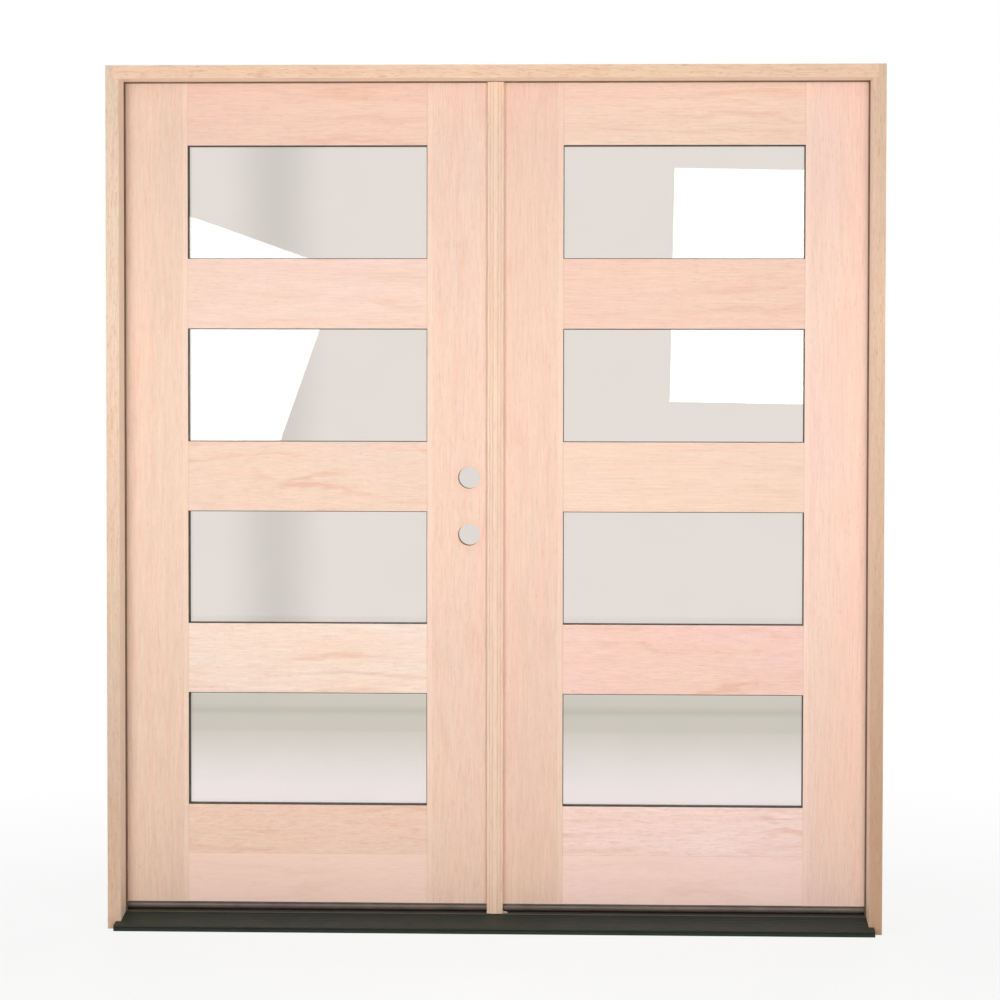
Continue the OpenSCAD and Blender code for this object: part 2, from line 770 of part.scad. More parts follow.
module glazing_beads(side) {
  color(rail_wood) handed(side) for (i = [0 : lite_count - 1])
    translate([lite_xm, 0, lite_z0(i) + lite_h / 2]) for (turn = [0, 180]) {
      rotate([0, turn, 0]) bead(pocket_w, pocket_h / 2);
      rotate([0, turn + 90, 0]) bead(pocket_h, pocket_w / 2);
    }
}

// Door bottom section: carrier, front bulb and fins down to the sill cap
module sweep_profile() {
  y0 = leaf_y0 + carrier_set;
  y1 = leaf_y1 - carrier_set;
  bulb_z = leaf_z0 - carrier_t - bulb_r + bulb_wall / 2;
  fin_y0 = y0 + 2 * bulb_r + fin_pitch / 2;
  fin_count = floor((y1 - fin_t - fin_y0) / fin_pitch) + 1;
  translate([y0, leaf_z0 - carrier_t]) square([y1 - y0, carrier_t]);
  difference() {
    translate([y0 + bulb_r, bulb_z]) circle(bulb_r);
    translate([y0 + bulb_r, bulb_z]) circle(bulb_r - bulb_wall);
  }
  for (i = [0 : fin_count - 1]) translate([fin_y0 + i * fin_pitch, sill_h + seal_clear])
    square([fin_t, bottom_gap - seal_clear - carrier_t / 2]);
}

module sweep(side) {
  color(sweep_brown) handed(side) difference() {
    along_x(leaf_x0 + sweep_set, leaf_x1 - sweep_set) sweep_profile();
    if (side == RIGHT) translate([bolt_x, leaf_ym, sill_h])
      cylinder(h = bottom_gap + over, r = bolt_r + strike_clear);
  }
}

// Crowned and reeded strip, fixed to the passive leaf and lapping the active one
module astragal() {
  color(astragal_wood) translate([0, 0, astragal_z0]) linear_extrude(astragal_z1 - astragal_z0) difference() {
    intersection() {
      translate([astragal_x0, astragal_y0]) square([astragal_w, astragal_t]);
      translate([astragal_xm, astragal_y0 + crown_r]) circle(crown_r);
    }
    translate([astragal_x0 - over, leaf_y0 - meet_seal_t])
      square([over + astragal_lap + centre_gap, meet_seal_t + over]);
    for (at = reed_at) translate([astragal_x0 + at, crown_y(astragal_x0 + at)]) circle(reed_r);
  }
}

// Meeting seal behind the astragal, and the pad beside its foot
module astragal_seals() {
  color(seal_brown) block([astragal_x0 + strip_set, leaf_y0 - meet_seal_t, astragal_z0],
                          [leaf_x1 - strip_set, leaf_y0 - seal_clear, astragal_z1]);
  color(foam) translate([0, leaf_y0, astragal_z0]) rotate([90, 0, 0]) linear_extrude(astragal_t - crown)
    polygon([
      [astragal_x1, 0], [astragal_x1 + foot_pad_l, 0], [astragal_x1 + foot_pad_l, foot_pad_h / 2],
      [astragal_x1, foot_pad_h]
    ]);
}

side_jamb(LEFT);  // left_jamb
side_jamb(RIGHT);  // right_jamb
head_jamb();
sill_deck();
sill_substrate();
sill_cap();
side_weatherstrip(LEFT);  // left_weatherstrip
side_weatherstrip(RIGHT);  // right_weatherstrip
head_weatherstrip();
corner_pads();
jamb_hinge(LEFT, 0);  // left_jamb_hinge_top
jamb_hinge(LEFT, 1);  // left_jamb_hinge_middle
jamb_hinge(LEFT, 2);  // left_jamb_hinge_bottom
jamb_hinge(RIGHT, 0);  // right_jamb_hinge_top
jamb_hinge(RIGHT, 1);  // right_jamb_hinge_middle
jamb_hinge(RIGHT, 2);  // right_jamb_hinge_bottom
hinge_pins();
jamb_hinge_screws();
bolt_strikes();
hinge_stile(LEFT);  // active_hinge_stile
active_lock_stile();
rail(LEFT, top_span, 1, 0);  // active_top_rail
rail(LEFT, mid_spans[0], 1, 1);  // active_upper_rail
rail(LEFT, mid_spans[1], 1, 1);  // active_middle_rail
rail(LEFT, mid_spans[2], 1, 1);  // active_lower_rail
rail(LEFT, bottom_span, 0, 1);  // active_bottom_rail
glass_unit(LEFT, 0);  // active_glass_1
glass_unit(LEFT, 1);  // active_glass_2
glass_unit(LEFT, 2);  // active_glass_3
glass_unit(LEFT, 3);  // active_glass_4
spacers(LEFT);  // active_spacers
glazing_beads(LEFT);  // active_glazing_beads
sweep(LEFT);  // active_sweep
leaf_hinge(LEFT, 0);  // active_hinge_top
leaf_hinge(LEFT, 1);  // active_hinge_middle
leaf_hinge(LEFT, 2);  // active_hinge_bottom
leaf_hinge_screws(LEFT);  // active_hinge_screws
hinge_stile(RIGHT);  // passive_hinge_stile
passive_lock_stile();
rail(RIGHT, top_span, 1, 0);  // passive_top_rail
rail(RIGHT, mid_spans[0], 1, 1);  // passive_upper_rail
rail(RIGHT, mid_spans[1], 1, 1);  // passive_middle_rail
rail(RIGHT, mid_spans[2], 1, 1);  // passive_lower_rail
rail(RIGHT, bottom_span, 0, 1);  // passive_bottom_rail
glass_unit(RIGHT, 0);  // passive_glass_1
glass_unit(RIGHT, 1);  // passive_glass_2
glass_unit(RIGHT, 2);  // passive_glass_3
glass_unit(RIGHT, 3);  // passive_glass_4
spacers(RIGHT);  // passive_spacers
glazing_beads(RIGHT);  // passive_glazing_beads
sweep(RIGHT);  // passive_sweep
leaf_hinge(RIGHT, 0);  // passive_hinge_top
leaf_hinge(RIGHT, 1);  // passive_hinge_middle
leaf_hinge(RIGHT, 2);  // passive_hinge_bottom
leaf_hinge_screws(RIGHT);  // passive_hinge_screws
astragal();
astragal_seals();
flush_bolt_plates();
flush_bolt(top_bolt_z, top_thumb_z);  // top_bolt
flush_bolt(bottom_bolt_z, bottom_thumb_z);  // bottom_bolt
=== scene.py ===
import math

import bmesh
import bpy
from mathutils import Matrix, Vector


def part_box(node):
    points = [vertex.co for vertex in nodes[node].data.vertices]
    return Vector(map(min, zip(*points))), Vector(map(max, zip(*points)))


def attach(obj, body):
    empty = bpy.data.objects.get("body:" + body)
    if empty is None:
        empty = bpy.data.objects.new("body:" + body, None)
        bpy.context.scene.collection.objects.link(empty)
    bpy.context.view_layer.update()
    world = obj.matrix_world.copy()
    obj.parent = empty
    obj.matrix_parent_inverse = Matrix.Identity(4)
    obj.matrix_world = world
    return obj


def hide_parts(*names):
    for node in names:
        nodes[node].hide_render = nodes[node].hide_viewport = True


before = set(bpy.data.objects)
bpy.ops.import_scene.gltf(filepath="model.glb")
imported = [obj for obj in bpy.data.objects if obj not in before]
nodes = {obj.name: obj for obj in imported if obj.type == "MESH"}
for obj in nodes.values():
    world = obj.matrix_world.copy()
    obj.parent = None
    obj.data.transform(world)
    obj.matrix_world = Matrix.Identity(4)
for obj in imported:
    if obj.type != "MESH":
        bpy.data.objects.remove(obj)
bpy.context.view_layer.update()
scene = bpy.context.scene
mm = 0.001
print("frame:", len(nodes), "nodes")


# Small helpers for node trees

def linear(r, g, b):  # a colour as seen on screen, 0 to 255, to linear light
    def one(c):
        c /= 255
        return c / 12.92 if c <= 0.04045 else ((c + 0.055) / 1.055) ** 2.4
    return (one(r), one(g), one(b), 1.0)


def put(tree, kind, inputs=None, **settings):
    node = tree.nodes.new(kind)
    for key, value in settings.items():
        setattr(node, key, value)
    for key, value in (inputs or {}).items():
        feed(tree, node.inputs[key], value)
    return node


def pull(tree, kind, inputs=None, **settings):  # the first output of a new node
    return put(tree, kind, inputs, **settings).outputs[0]


def feed(tree, socket, value):
    if isinstance(value, bpy.types.NodeSocket):
        tree.links.new(value, socket)
    else:
        socket.default_value = value


def calc(tree, operation, a, b=0.0, clamp=False):
    return pull(tree, "ShaderNodeMath", {0: a, 1: b}, operation=operation, use_clamp=clamp)


def calcVector(tree, operation, a, b=(0, 0, 0)):
    return pull(tree, "ShaderNodeVectorMath", {0: a, 1: b}, operation=operation)


def measure(tree, operation, a, b=(0, 0, 0)):  # a length or a product of two vectors
    return put(tree, "ShaderNodeVectorMath", {0: a, 1: b}, operation=operation).outputs["Value"]


def axesOf(tree, vector):
    return put(tree, "ShaderNodeSeparateXYZ", {0: vector}).outputs


def vectorOf(tree, x, y, z):
    return pull(tree, "ShaderNodeCombineXYZ", {"X": x, "Y": y, "Z": z})


def remap(tree, value, low, high, outLow=0.0, outHigh=1.0, ease="LINEAR"):
    sizes = {"From Min": low, "From Max": high, "To Min": outLow, "To Max": outHigh}
    return pull(tree, "ShaderNodeMapRange", {"Value": value, **sizes}, interpolation_type=ease)


def mixColour(tree, factor, a, b, blend="MIX"):
    mix = put(tree, "ShaderNodeMix", {0: factor, 6: a, 7: b}, data_type="RGBA", blend_type=blend)
    return mix.outputs[2]


def noise(tree, vector, scale, detail=2.0, roughness=0.5):
    sizes = {"Scale": scale, "Detail": detail, "Roughness": roughness}
    return pull(tree, "ShaderNodeTexNoise", {"Vector": vector, **sizes})


def stretch(tree, vector, scale):
    return pull(tree, "ShaderNodeMapping", {"Vector": vector, "Scale": scale})


def newGroup(name, ins, outs):
    group = bpy.data.node_groups.new(name, "ShaderNodeTree")
    for label, kind, value in ins:
        socket = group.interface.new_socket(label, in_out="INPUT", socket_type=kind)
        if value is not None:
            socket.default_value = value
    for label in outs:
        group.interface.new_socket(label, in_out="OUTPUT", socket_type="NodeSocketFloat")
    return group, put(group, "NodeGroupInput").outputs, put(group, "NodeGroupOutput").inputs


def useGroup(tree, group, inputs):
    node = put(tree, "ShaderNodeGroup", node_tree=group)
    for key, value in inputs.items():
        feed(tree, node.inputs[key], value)
    return node.outputs


def newMaterial(name, roughness, **sockets):
    material = bpy.data.materials.new(name)
    material.use_nodes = True
    tree = material.node_tree
    shader = tree.nodes["Principled BSDF"]
    shader.inputs["Roughness"].default_value = roughness
    for key, value in sockets.items():
        shader.inputs[key].default_value = value
    place = put(tree, "ShaderNodeTexCoord").outputs["Object"]
    return material, tree, shader, place


def paint(tree, shader, colour):
    feed(tree, shader.inputs["Base Color"], colour)


def tint(tree, shader, amount, colour):  # mixes a colour over what already feeds Base Color
    under = shader.inputs["Base Color"].links[0].from_socket
    paint(tree, shader, mixColour(tree, amount, under, linear(*colour)))


def bumped(tree, shader, height, strength, distance):
    bump = pull(tree, "ShaderNodeBump", {"Height": height, "Strength": strength, "Distance": distance})
    feed(tree, shader.inputs["Normal"], bump)


def dress(node, material):
    nodes[node].data.materials.clear()
    nodes[node].data.materials.append(material)


# Shared effects

def makeWoodFigure():
    group, ins, outs = newGroup("woodFigure", [
        ("Vector", "NodeSocketVector", None),  # grain runs along its Z, pith on its Z axis
        ("Ring Scale", "NodeSocketFloat", 9.0),
        ("Wander", "NodeSocketFloat", 7.0),
        ("Pore Size", "NodeSocketFloat", 1.0),
    ], ["Rings", "Ribbon", "Drift", "Fleck", "Fibre", "Pores", "Height"])

    def drawn(length):  # pulled out along the grain
        return stretch(group, ins["Vector"], (1, 1, length))

    wave = put(group, "ShaderNodeTexWave", {
        "Vector": drawn(0.22), "Scale": ins["Ring Scale"], "Distortion": ins["Wander"],
        "Detail": 3.0, "Detail Scale": 1.4, "Detail Roughness": 0.62,
    }, wave_type="RINGS", rings_direction="Z", wave_profile="SIN").outputs["Fac"]
    fade = remap(group, noise(group, drawn(0.4), 9.0, 2.0), 0.42, 0.62)
    rings = calc(group, "MULTIPLY", calc(group, "POWER", wave, 7.0), fade)  # thin lines that come and go
    ribbon = remap(group, noise(group, drawn(0.06), 42.0, 4.0, 0.62), 0.3, 0.7)
    drift = remap(group, noise(group, drawn(0.3), 5.5, 3.0), 0.32, 0.68)
    fleck = remap(group, noise(group, drawn(0.17), 150.0, 4.0, 0.6), 0.5, 0.72)
    fibre = noise(group, drawn(0.03), 320.0, 3.0, 0.65)
    ticks = calc(group, "DIVIDE", 640.0, ins["Pore Size"])
    pores = remap(group, noise(group, drawn(0.09), ticks, 1.5, 0.5), 0.6, 0.73)
    height = calc(group, "SUBTRACT", calc(group, "MULTIPLY", fibre, 0.5), pores)
    for socket, value in zip(outs, (rings, ribbon, drift, fleck, fibre, pores, height)):
        feed(group, socket, value)
    return group


def makeGrit():
    group, ins, outs = newGroup("grit", [
        ("Vector", "NodeSocketVector", None),
        ("Grain", "NodeSocketFloat", 900.0),
        ("Smudge", "NodeSocketFloat", 9.0),
    ], ["Grit", "Smudge"])
    feed(group, outs["Grit"], noise(group, ins["Vector"], ins["Grain"], 2.0, 0.6))
    smudge = noise(group, ins["Vector"], ins["Smudge"], 4.0, 0.6)
    feed(group, outs["Smudge"], remap(group, smudge, 0.35, 0.65))
    return group


woodFigure = makeWoodFigure()
grit = makeGrit()
print("shader groups: woodFigure, grit")


# Wood

woodLook = {
    "late": (222, 168, 142),  # dark side of the growth rings
    "heart": (241, 194, 175),  # pinker ribbons
    "straw": (246, 214, 184),  # yellower patches
    "pore": (178, 122, 92),
    "seam": (206, 160, 134),
    "edging": (255, 229, 211),  # strips along the lites
    "lowBoard": (254, 220, 207),  # pinker lower board of the bottom rails
    "footToneAndShade": (176, 134, 100),  # foot of the side jambs: darker wood tone and painted shade of the light falling off towards the floor
    "fresh": (248, 230, 212),  # painted light on the inner faces of the jambs, which the lamps reach less
    "heartShare": 0.4,
    "strawShare": 0.34,
    "fibreShade": (0.92, 1.08),
    "roughness": (0.52, 0.72),
    "gloss": 0.25,
    "wander": 7.0,
    "relief": 0.25 * mm,
}

boards = {  # colour, pith in mm from the middle of the outer face (across, inwards), lean, figure, flecks
    "active_hinge_stile": ((230, 205, 187), (-190, 130), 0.6, 0.2, 0.22),
    "active_lock_stile": ((237, 207, 191), (60, 150), 1.1, 0.2, 0.26),
    "passive_lock_stile": ((235, 203, 186), (-90, 140), -0.8, 0.16, 0.2),
    "passive_hinge_stile": ((244, 213, 201), (190, 150), 0.7, 0.12, 0.12),
    "active_top_rail": ((236, 203, 189), (90, 110), 2.0, 0.3, 0.22),
    "active_upper_rail": ((239, 212, 200), (-150, 130), -1.5, 0.25, 0.16),
    "active_middle_rail": ((233, 209, 193), (-20, 48), 4.2, 0.55, 0.16),
    "active_lower_rail": ((244, 228, 215), (60, 64), 3.0, 0.35, 0.14),
    "active_bottom_rail": ((243, 211, 193), (-70, 40), -4.6, 0.45, 0.36),
    "passive_top_rail": ((240, 212, 196), (140, 120), 1.4, 0.25, 0.2),
    "passive_upper_rail": ((237, 202, 188), (70, 100), -1.0, 0.3, 0.2),
    "passive_middle_rail": ((239, 212, 194), (-170, 130), 0.9, 0.15, 0.1),
    "passive_lower_rail": ((245, 207, 199), (-30, 66), -2.6, 0.45, 0.2),
    "passive_bottom_rail": ((255, 230, 223), (-90, 52), 3.8, 0.45, 0.3),
    "active_glazing_beads": ((246, 214, 196), (500, 80), 0.5, 0.2, 0.2),
    "passive_glazing_beads": ((246, 214, 196), (500, 80), 0.5, 0.2, 0.2),
}


def boardPlace(tree, place, node, across, pith, lean):
    low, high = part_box(node)
    middle = (low + high) / 2
    start = Vector((middle.x, low.y + pith[1] * mm, middle.z))
    turn = (math.radians(lean), 0, 0)
    if across:  # grain along X
        start.z += pith[0] * mm
        turn = (math.radians(lean), math.radians(90), 0)
    else:
        start.x += pith[0] * mm
    spot = {"Vector": place, "Location": start, "Rotation": turn}
    return pull(tree, "ShaderNodeMapping", spot, vector_type="TEXTURE")


def mitredGrain(tree, place, upright, level, leaf):  # beads: the grain turns with each side of a lite
    boxes = [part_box(f"{leaf}_glass_{i}") for i in (4, 3)]
    middle = (boxes[0][0] + boxes[0][1]) / 2
    half = (boxes[0][1] - boxes[0][0]) / 2
    pitch = boxes[1][0].z - boxes[0][0].z
    across, _, up = axesOf(tree, place)
    off = calc(tree, "ABSOLUTE", calc(tree, "SUBTRACT", across, middle.x))
    side = calc(tree, "SUBTRACT", half.x, off)
    row = calc(tree, "PINGPONG", calc(tree, "SUBTRACT", up, middle.z), pitch / 2)
    end = calc(tree, "SUBTRACT", half.z, row)
    nearEnd = calc(tree, "LESS_THAN", end, side)
    return put(tree, "ShaderNodeMix", {0: nearEnd, 4: upright, 5: level}, data_type="VECTOR").outputs[1]


def makeWood(node, across, colour, pith, lean, figure, fleckShade=0.16, ringScale=9.0, poreSize=1.0,
             poreShade=0.22):
    wood, tree, shader, place = newMaterial(node + "_wood", 0.6)
    shader.inputs["Specular IOR Level"].default_value = woodLook["gloss"]
    vector = boardPlace(tree, place, node, across, pith, lean)
    if "beads" in node:
        level = boardPlace(tree, place, node, True, pith, lean)
        vector = mitredGrain(tree, place, vector, level, node.split("_")[0])
    sizes = {"Ring Scale": ringScale, "Wander": woodLook["wander"], "Pore Size": poreSize}
    grain = useGroup(tree, woodFigure, {"Vector": vector, **sizes})
    seen = linear(*colour)
    layers = (("Ribbon", woodLook["heartShare"], "heart"), ("Drift", woodLook["strawShare"], "straw"),
              ("Fleck", fleckShade, "late"), ("Rings", figure, "late"))
    for mask, share, tone in layers:
        seen = mixColour(tree, calc(tree, "MULTIPLY", grain[mask], share), seen, linear(*woodLook[tone]))
    shade = remap(tree, grain["Fibre"], 0.25, 0.75, *woodLook["fibreShade"])
    paint(tree, shader, mixColour(tree, 1.0, seen, shade, "MULTIPLY"))
    tint(tree, shader, calc(tree, "MULTIPLY", grain["Pores"], poreShade), woodLook["pore"])
    feed(tree, shader.inputs["Roughness"], remap(tree, grain["Fibre"], 0.2, 0.8, *woodLook["roughness"]))
    bumped(tree, shader, grain["Height"], 0.25, woodLook["relief"])
    return wood, tree, shader, place


def tintSpan(tree, shader, place, axis, span, colour, amount, feather=0.2 * mm, deepest=None):
    spot = axesOf(tree, place)
    low, high = span
    rise = remap(tree, spot[axis], low - feather, low)
    fall = remap(tree, spot[axis], high + feather, high)
    inside = calc(tree, "MULTIPLY", rise, fall)
    if deepest is not None:  # outdoor face only
        inside = calc(tree, "MULTIPLY", inside, calc(tree, "LESS_THAN", spot["Y"], deepest))
    tint(tree, shader, calc(tree, "MULTIPLY", inside, amount), colour)


joinery = {
    "seam": 0.7 * mm,  # half of its width
    "seamShade": 0.5,
    "seamDepth": 10 * mm,
    "bandWidth": 12 * mm,
    "bandShade": 0.22,
    "glueLine": 120 * mm,
    "glueWidth": 0.5 * mm,
    "lowBoardShare": 0.6,
}


def makeLeafWood():
    for node, board in boards.items():
        across = "rail" in node
        wood, tree, shader, place = makeWood(node, across, *board)
        low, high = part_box(node)
        leaf = node.split("_")[0]
        seam = (woodLook["seam"], joinery["seamShade"])
        if across:  # hairline at the shoulders, where the rail meets the stiles
            stiles = [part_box(f"{leaf}_{side}_stile") for side in ("hinge", "lock")]
            left, right = sorted(stiles, key=lambda box: box[0].x)
            for edge in (left[1].x, right[0].x):
                span = (edge - joinery["seam"], edge + joinery["seam"])
                tintSpan(tree, shader, place, "X", span, *seam, deepest=low.y + joinery["seamDepth"])
        if "bottom_rail" in node:  # glued from two boards
            line = low.z + joinery["glueLine"]
            tintSpan(tree, shader, place, "Z", (low.z, line), woodLook["lowBoard"], joinery["lowBoardShare"])
            tintSpan(tree, shader, place, "Z", (line, line + joinery["glueWidth"]), *seam)
        if "stile" in node:  # edging strip along the lites
            toRight = high.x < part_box(leaf + "_glass_1")[1].x
            strip = high.x - joinery["bandWidth"] if toRight else low.x
            span = (strip, strip + joinery["bandWidth"])
            tintSpan(tree, shader, place, "X", span, woodLook["edging"], joinery["bandShade"])
        if node == "active_lock_stile":
            darkenBores(tree, shader, place, low.y)
        dress(node, wood)


boreLook = {
    "across": -63.5 * mm,
    "heights": (959.85 * mm, 1099.55 * mm),
    "radius": 27 * mm,
    "slack": 0.4 * mm,
    "halo": 46 * mm,
    "rim": (236, 180, 152),
    "rimShare": 0.3,
    # painted shade inside the bores, where the lamps barely reach
    "wall": (120, 84, 62),
    "boreShadeShare": 0.85,
    "lip": (1.5 * mm, 4 * mm),  # depths between which the painted shade on the wall sets in
}


def darkenBores(tree, shader, place, face):  # painted shade on the walls inside, and a faint stain round the rims
    start, stop = boreLook["lip"]
    inside = remap(tree, axesOf(tree, place)["Y"], face + start, face + stop)
    flat = calcVector(tree, "MULTIPLY", place, (1, 0, 1))
    for height in boreLook["heights"]:
        reach = measure(tree, "DISTANCE", flat, (boreLook["across"], 0, height))
        rim = remap(tree, reach, boreLook["halo"], boreLook["radius"], 0.0, boreLook["rimShare"])
        tint(tree, shader, rim, boreLook["rim"])
        wall = calc(tree, "LESS_THAN", reach, boreLook["radius"] + boreLook["slack"])
        wall = calc(tree, "MULTIPLY", calc(tree, "MULTIPLY", wall, inside), boreLook["boreShadeShare"])
        tint(tree, shader, wall, boreLook["wall"])


jambs = {  # colour, pith, inner side, amount of darkening at the foot (wood tone and painted shade)
    "left_jamb": ((227, 208, 184), (-70, 150), (1, 0, 0), 0.32),
    "right_jamb": ((219, 191, 164), (80, 160), (-1, 0, 0), 0.62),
    "head_jamb": ((241, 207, 176), (90, 140), (0, 0, -1), 0.0),
}
jambLook = {
    "wood": {"lean": 0.4, "figure": 0.3, "fleckShade": 0.5, "ringScale": 30.0, "poreSize": 1.1,
             "poreShade": 0.5},
    "footTop": 0.3,
    "footFade": 1.2,
    "innerLightShare": 0.7,
}


def makeJambWood():
    for node, (colour, pith, inner, foot) in jambs.items():
        wood, tree, shader, place = makeWood(node, node == "head_jamb", colour, pith, **jambLook["wood"])
        if foot:  # darker towards the foot: partly the wood's tone, partly painted shade where less light reaches
            span = (0.0, jambLook["footTop"])
            tintSpan(tree, shader, place, "Z", span, woodLook["footToneAndShade"], foot, jambLook["footFade"])
        # painted light: faces turned towards the opening are lightened where the lamps leave them dim
        normal = put(tree, "ShaderNodeNewGeometry").outputs["Normal"]
        turned = measure(tree, "DOT_PRODUCT", normal, inner)
        tint(tree, shader, remap(tree, turned, 0.5, 0.9, 0.0, jambLook["innerLightShare"]), woodLook["fresh"])
        dress(node, wood)


astragalLook = {
    "wood": {"colour": (238, 215, 190), "pith": (30, 200), "lean": 0.2, "figure": 0.2, "ringScale": 40.0,
             "poreSize": 1.4},
    "reeds": (6 * mm, 13 * mm, 25.5 * mm, 32.5 * mm),  # painted shade in the reed grooves, placed from the active edge
    "reedHalf": 0.7 * mm,
    "reedFade": 0.4 * mm,
    "shade": 0.25,
}


def makeAstragalWood():
    wood, tree, shader, place = makeWood("astragal", False, **astragalLook["wood"])
    edge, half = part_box("astragal")[0].x, astragalLook["reedHalf"]
    # painted shade along each reed groove
    for at in astragalLook["reeds"]:
        span = (edge + at - half, edge + at + half)
        shade = (woodLook["pore"], astragalLook["shade"], astragalLook["reedFade"])
        tintSpan(tree, shader, place, "X", span, *shade)
    dress("astragal", wood)


makeLeafWood()
makeJambWood()
makeAstragalWood()
print("wood: leaves, jambs, astragal")


# Glass, metal, seals

glassLook = {"clear": (255, 254, 253), "hazed": (253, 253, 252), "haze": 0.012}
spacerLook = {"pale": (84, 74, 67), "dark": (68, 60, 54)}
sillLook = {
    "dark": (32, 43, 35),
    "pale": (43, 52, 43),
    "groove": (16, 18, 15),
    "grooveSpan": (7.2 * mm, 10.5 * mm),  # heights along the nose of the painted shade under the drip edge
    "grooveShare": 0.8,
}
compositeLook = {"dark": (58, 53, 47), "pale": (86, 78, 68), "worn": (98, 88, 76), "wornShare": 0.3}
foamLook = {"cell": (150, 134, 110), "skin": (196, 180, 152), "worn": (206, 190, 164), "wornShare": 0.3}
nickelLook = {"dark": (176, 170, 160), "pale": (206, 201, 192), "dull": (168, 160, 148), "dullShare": 0.35}
skinLook = {  # two tones and the span of roughness
    "seal_skin": ((112, 86, 65), (126, 97, 74), (0.55, 0.8)),
    "sweep_vinyl": ((104, 91, 84), (120, 106, 98), (0.24, 0.36)),
}


def marked(tree, place, grain, smudge):
    return useGroup(tree, grit, {"Vector": place, "Grain": grain, "Smudge": smudge})


def makeGlass():
    glass, tree, shader, place = newMaterial("lite_glass", 0.0, IOR=1.5)
    shader.inputs["Transmission Weight"].default_value = 1.0
    smudge = marked(tree, place, 400.0, 5.0)["Smudge"]
    paint(tree, shader, mixColour(tree, smudge, linear(*glassLook["clear"]), linear(*glassLook["hazed"])))
    feed(tree, shader.inputs["Roughness"], remap(tree, smudge, 0.0, 1.0, 0.0, glassLook["haze"]))
    return glass


def makeSpacer():
    bar, tree, shader, place = newMaterial("spacer_seal", 0.7)
    marks = marked(tree, place, 700.0, 20.0)
    tones = (linear(*spacerLook["pale"]), linear(*spacerLook["dark"]))
    paint(tree, shader, mixColour(tree, marks["Smudge"], *tones))
    bumped(tree, shader, marks["Grit"], 0.2, 0.2 * mm)
    return bar


def makeBronze():
    bronze, tree, shader, place = newMaterial("sill_bronze", 0.5)
    shader.inputs["Specular IOR Level"].default_value = 0.35
    smudge = marked(tree, place, 1500.0, 14.0)["Smudge"]
    lines = noise(tree, stretch(tree, place, (0.001, 1, 1)), 1800.0, 2.0)  # die lines along the extrusion
    colour = mixColour(tree, smudge, linear(*sillLook["dark"]), linear(*sillLook["pale"]))
    paint(tree, shader, mixColour(tree, 1.0, colour, remap(tree, lines, 0.2, 0.8, 0.8, 1.16), "MULTIPLY"))
    # painted shade in the drip groove of the nose
    groove = (sillLook["groove"], sillLook["grooveShare"])
    tintSpan(tree, shader, place, "Z", sillLook["grooveSpan"], *groove, 0.5 * mm)
    feed(tree, shader.inputs["Roughness"], remap(tree, smudge, 0.0, 1.0, 0.42, 0.6))
    bumped(tree, shader, lines, 0.12, 0.1 * mm)
    return bronze


def makeComposite():
    cap, tree, shader, place = newMaterial("sill_composite", 0.6)
    marks = marked(tree, place, 1100.0, 12.0)
    tones = (linear(*compositeLook["dark"]), linear(*compositeLook["pale"]))
    paint(tree, shader, mixColour(tree, marks["Grit"], *tones))
    worn = calc(tree, "MULTIPLY", marks["Smudge"], compositeLook["wornShare"])
    tint(tree, shader, worn, compositeLook["worn"])
    bumped(tree, shader, marks["Grit"], 0.3, 0.3 * mm)
    return cap


def makeSkin(name):  # skinned foam and flexible vinyl
    dark, pale, shine = skinLook[name]
    skin, tree, shader, place = newMaterial(name, 0.5)
    marks = marked(tree, place, 800.0, 18.0)
    paint(tree, shader, mixColour(tree, marks["Smudge"], linear(*dark), linear(*pale)))
    feed(tree, shader.inputs["Roughness"], remap(tree, marks["Grit"], 0.3, 0.7, *shine))
    bumped(tree, shader, marks["Grit"], 0.06, 0.2 * mm)
    return skin


def makeFoam():
    foam, tree, shader, place = newMaterial("pad_foam", 0.9)
    cells = put(tree, "ShaderNodeTexVoronoi", {"Vector": place, "Scale": 900.0}).outputs["Distance"]
    tones = (linear(*foamLook["cell"]), linear(*foamLook["skin"]))
    paint(tree, shader, mixColour(tree, remap(tree, cells, 0.1, 0.5), *tones))
    worn = calc(tree, "MULTIPLY", marked(tree, place, 600.0, 30.0)["Smudge"], foamLook["wornShare"])
    tint(tree, shader, worn, foamLook["worn"])
    bumped(tree, shader, cells, 0.5, 0.6 * mm)
    return foam


def makeNickel():
    nickel, tree, shader, place = newMaterial("satin_nickel", 0.34, Metallic=1.0)
    lines = noise(tree, stretch(tree, place, (1, 1, 0.03)), 2600.0, 2.0)  # upright satin lines
    paint(tree, shader, mixColour(tree, lines, linear(*nickelLook["dark"]), linear(*nickelLook["pale"])))
    dull = calc(tree, "MULTIPLY", marked(tree, place, 900.0, 45.0)["Smudge"], nickelLook["dullShare"])
    tint(tree, shader, dull, nickelLook["dull"])
    feed(tree, shader.inputs["Roughness"], remap(tree, lines, 0.2, 0.8, 0.26, 0.44))
    bumped(tree, shader, lines, 0.1, 0.05 * mm)
    return nickel


glass = makeGlass()
spacer = makeSpacer()
bronze = makeBronze()
composite = makeComposite()
sealSkin = makeSkin("seal_skin")
sweepVinyl = makeSkin("sweep_vinyl")
padFoam = makeFoam()
nickel = makeNickel()

for node in nodes:
    if "glass_" in node:
        dress(node, glass)
        nodes[node].visible_shadow = False  # clear panes let the light through
    elif "spacers" in node:
        dress(node, spacer)
    elif node == "sill_deck":
        dress(node, bronze)
    elif node in ("sill_substrate", "sill_cap"):
        dress(node, composite)
    elif "weatherstrip" in node or node == "astragal_seals":
        dress(node, sealSkin)
    elif "sweep" in node:
        dress(node, sweepVinyl)
    elif node == "corner_pads":
        dress(node, padFoam)
    elif "bolt" in node or ("hinge" in node and "stile" not in node):
        dress(node, nickel)
print("finishes: glass, spacers, sill, seals, metal")


# Pieces grown with Geometry Nodes

